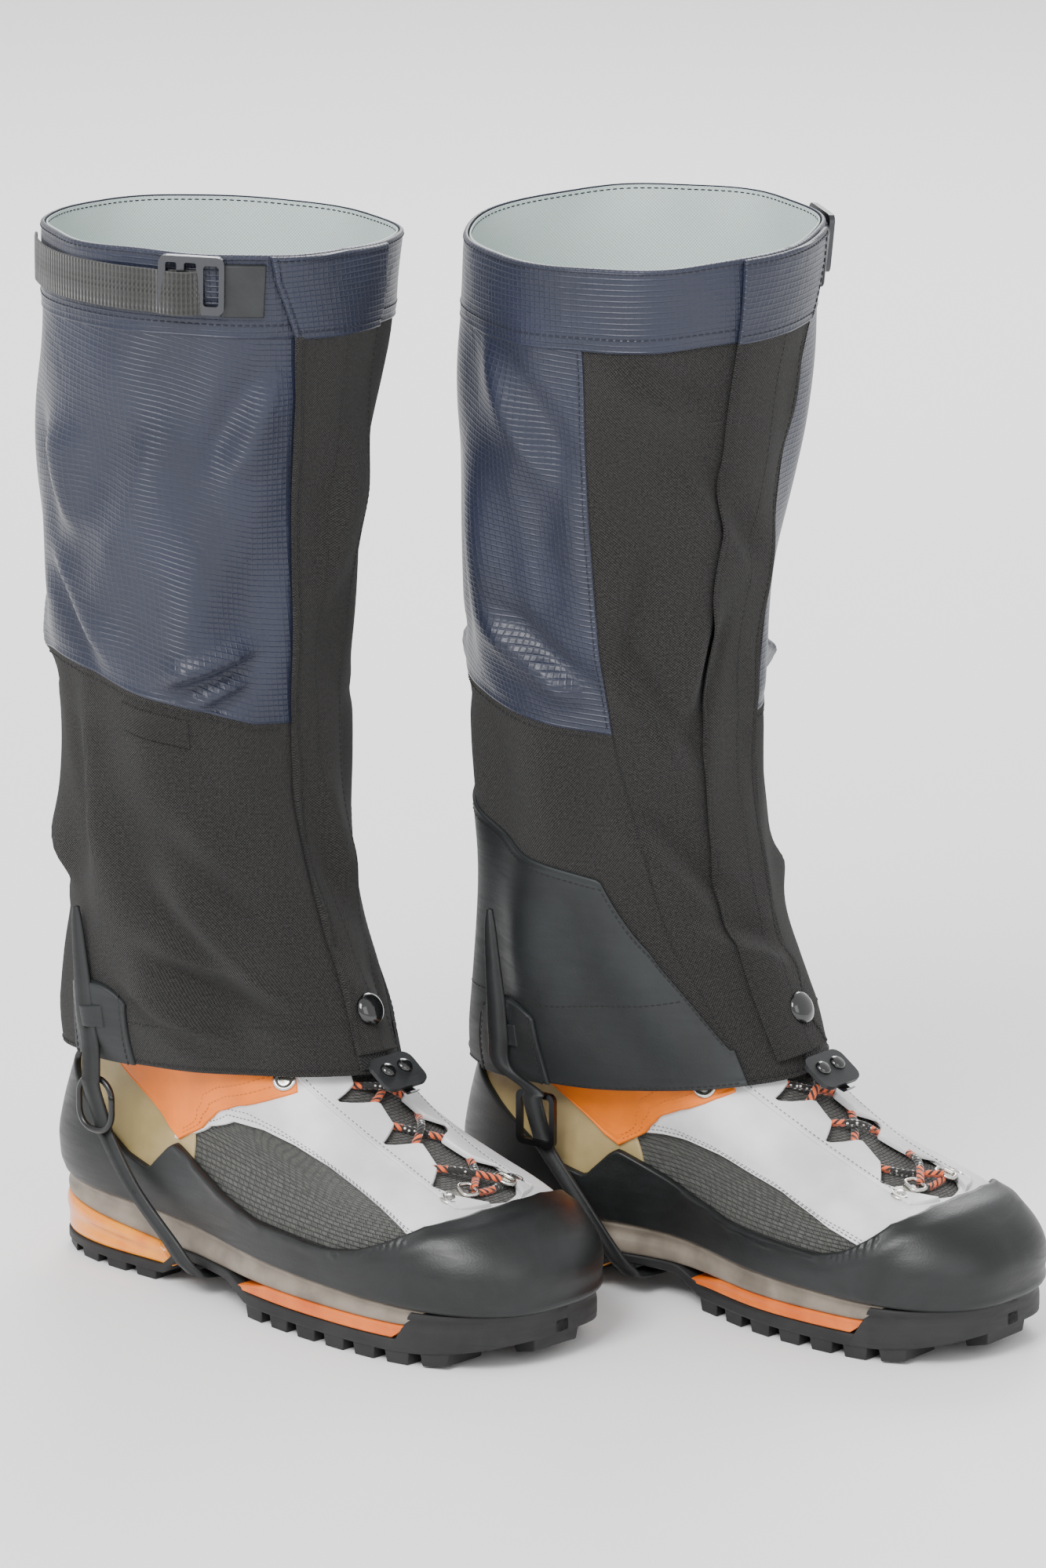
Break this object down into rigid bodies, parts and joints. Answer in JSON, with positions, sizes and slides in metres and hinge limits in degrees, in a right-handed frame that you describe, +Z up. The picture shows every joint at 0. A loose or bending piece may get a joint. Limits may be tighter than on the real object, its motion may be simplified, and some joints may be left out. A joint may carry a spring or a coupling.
{
  "type": "mountaineering boots",
  "caption": "Pair of stiff laced mountaineering boots with lugged soles and rubber rands, worn under knee-high gaiters with front flap, top strap and under-foot strap.",
  "frame": {"origin": "on the ground under the middle of the box round both boots", "axes": "+Z up, toes towards -Y, the right boot at -X and the left boot at +X"},
  "size_m": [0.2852, 0.4578, 0.4981],
  "materials": {
    "outsole_rubber": "matt black moulded rubber",
    "clear_tpu": "translucent orange heel cushion",
    "orange_tpu": "satin orange insert",
    "midsole_foam": "grey-beige moulded foam",
    "footbed_felt": "felt and foam footbed",
    "grey_leather": "smooth silver-grey leather",
    "orange_leather": "smooth orange nubuck leather",
    "khaki_leather": "khaki coated leather",
    "woven_mesh": "grey and black open weave",
    "rand_rubber": "satin dark rubber",
    "tongue_mesh": "black spacer mesh",
    "lining_textile": "dark knitted lining",
    "lace_cord": "black braided lace with light flecks",
    "heavy_cloth": "black coarse woven polyamide",
    "ripstop_cloth": "navy ripstop with a pale coated back",
    "patch_rubber": "smooth dark rubberised patch",
    "hook_tape": "hook and loop tape",
    "snap_enamel": "gloss black enamelled snap cap",
    "tab_rubber": "thick dark rubber tab",
    "dark_steel": "dark nickel-plated steel",
    "webbing": "ribbed polyamide webbing",
    "strap_rubber": "flat moulded rubber strap"
  },
  "bodies": {
    "right_boot": {"right_outsole": "outsole_rubber", "right_heel_insert": "clear_tpu", "right_forefoot_insert": "orange_tpu", "right_midsole": "midsole_foam", "right_footbed": "footbed_felt", "right_vamp": "grey_leather", "right_ankle_cuff": "orange_leather", "right_heel_panel": "khaki_leather", "right_side_mesh": "woven_mesh", "right_rubber_rand": "rand_rubber", "right_tongue": "tongue_mesh", "right_liner": "lining_textile", "right_lace": "lace_cord", "right_gaiter_front_panel": "heavy_cloth", "right_gaiter_lower_panel": "heavy_cloth", "right_gaiter_upper_panel": "ripstop_cloth", "right_kick_patch": "patch_rubber", "right_anchor_patch_outer": "patch_rubber", "right_anchor_patch_inner": "patch_rubber", "right_buckle_tab": "tab_rubber", "right_hook_strip": "hook_tape", "right_foot_strap": "strap_rubber", "right_strap_ring_outer": "dark_steel", "right_strap_ring_inner": "dark_steel"},
    "right_flap_panel": {"right_front_flap": "heavy_cloth", "right_snap_cap": "snap_enamel"},
    "right_lace_catch": {"right_lace_hook_tab": "tab_rubber", "right_lace_hook": "dark_steel"},
    "right_strap": {"right_top_strap": "webbing"},
    "right_buckle": {"right_top_buckle": "dark_steel"},
    "left_boot": {"left_outsole": "outsole_rubber", "left_heel_insert": "clear_tpu", "left_forefoot_insert": "orange_tpu", "left_midsole": "midsole_foam", "left_footbed": "footbed_felt", "left_vamp": "grey_leather", "left_ankle_cuff": "orange_leather", "left_heel_panel": "khaki_leather", "left_side_mesh": "woven_mesh", "left_rubber_rand": "rand_rubber", "left_tongue": "tongue_mesh", "left_liner": "lining_textile", "left_lace": "lace_cord", "left_gaiter_front_panel": "heavy_cloth", "left_gaiter_lower_panel": "heavy_cloth", "left_gaiter_upper_panel": "ripstop_cloth", "left_kick_patch": "patch_rubber", "left_anchor_patch_outer": "patch_rubber", "left_anchor_patch_inner": "patch_rubber", "left_buckle_tab": "tab_rubber", "left_hook_strip": "hook_tape", "left_foot_strap": "strap_rubber", "left_strap_ring_outer": "dark_steel", "left_strap_ring_inner": "dark_steel"},
    "left_flap_panel": {"left_front_flap": "heavy_cloth", "left_snap_cap": "snap_enamel"},
    "left_lace_catch": {"left_lace_hook_tab": "tab_rubber", "left_lace_hook": "dark_steel"},
    "left_strap": {"left_top_strap": "webbing"},
    "left_buckle": {"left_top_buckle": "dark_steel"}
  },
  "joints": [
    {"name": "right_flap_open", "type": "hinge", "parent": "right_boot", "child": "right_flap_panel", "pos_m": [-0.03665, 0.05486, 0.3], "axis": [0, 0, 1], "range_deg": [0, 75]},
    {"name": "right_lace_catch_lift", "type": "hinge", "parent": "right_flap_panel", "child": "right_lace_catch", "pos_m": [-0.06513, 0.03393, 0.1208], "axis": [-0.999, 0.0454, 0], "range_deg": [0, 60]},
    {"name": "right_strap_swing", "type": "hinge", "parent": "right_boot", "child": "right_strap", "pos_m": [-0.10991, 0.19853, 0.48], "axis": [0, 0, -1], "range_deg": [0, 85]},
    {"name": "right_buckle_turn", "type": "hinge", "parent": "right_strap", "child": "right_buckle", "pos_m": [-0.13748, 0.10498, 0.48], "axis": [0, 0, -1], "range_deg": [0, 70]},
    {"name": "left_flap_open", "type": "hinge", "parent": "left_boot", "child": "left_flap_panel", "pos_m": [0.03665, -0.09314, 0.3], "axis": [0, 0, -1], "range_deg": [0, 75]},
    {"name": "left_lace_catch_lift", "type": "hinge", "parent": "left_flap_panel", "child": "left_lace_catch", "pos_m": [0.06513, -0.11407, 0.1208], "axis": [-0.999, -0.0454, 0], "range_deg": [0, 60]},
    {"name": "left_strap_swing", "type": "hinge", "parent": "left_boot", "child": "left_strap", "pos_m": [0.10991, 0.05053, 0.48], "axis": [0, 0, 1], "range_deg": [0, 85]},
    {"name": "left_buckle_turn", "type": "hinge", "parent": "left_strap", "child": "left_buckle", "pos_m": [0.13748, -0.04302, 0.48], "axis": [0, 0, 1], "range_deg": [0, 70]},
    {"name": "left_boot_lift", "type": "slide", "parent": "right_boot", "child": "left_boot", "axis": [0, 0, 1], "range_m": [0, 0.3]}
  ]
}
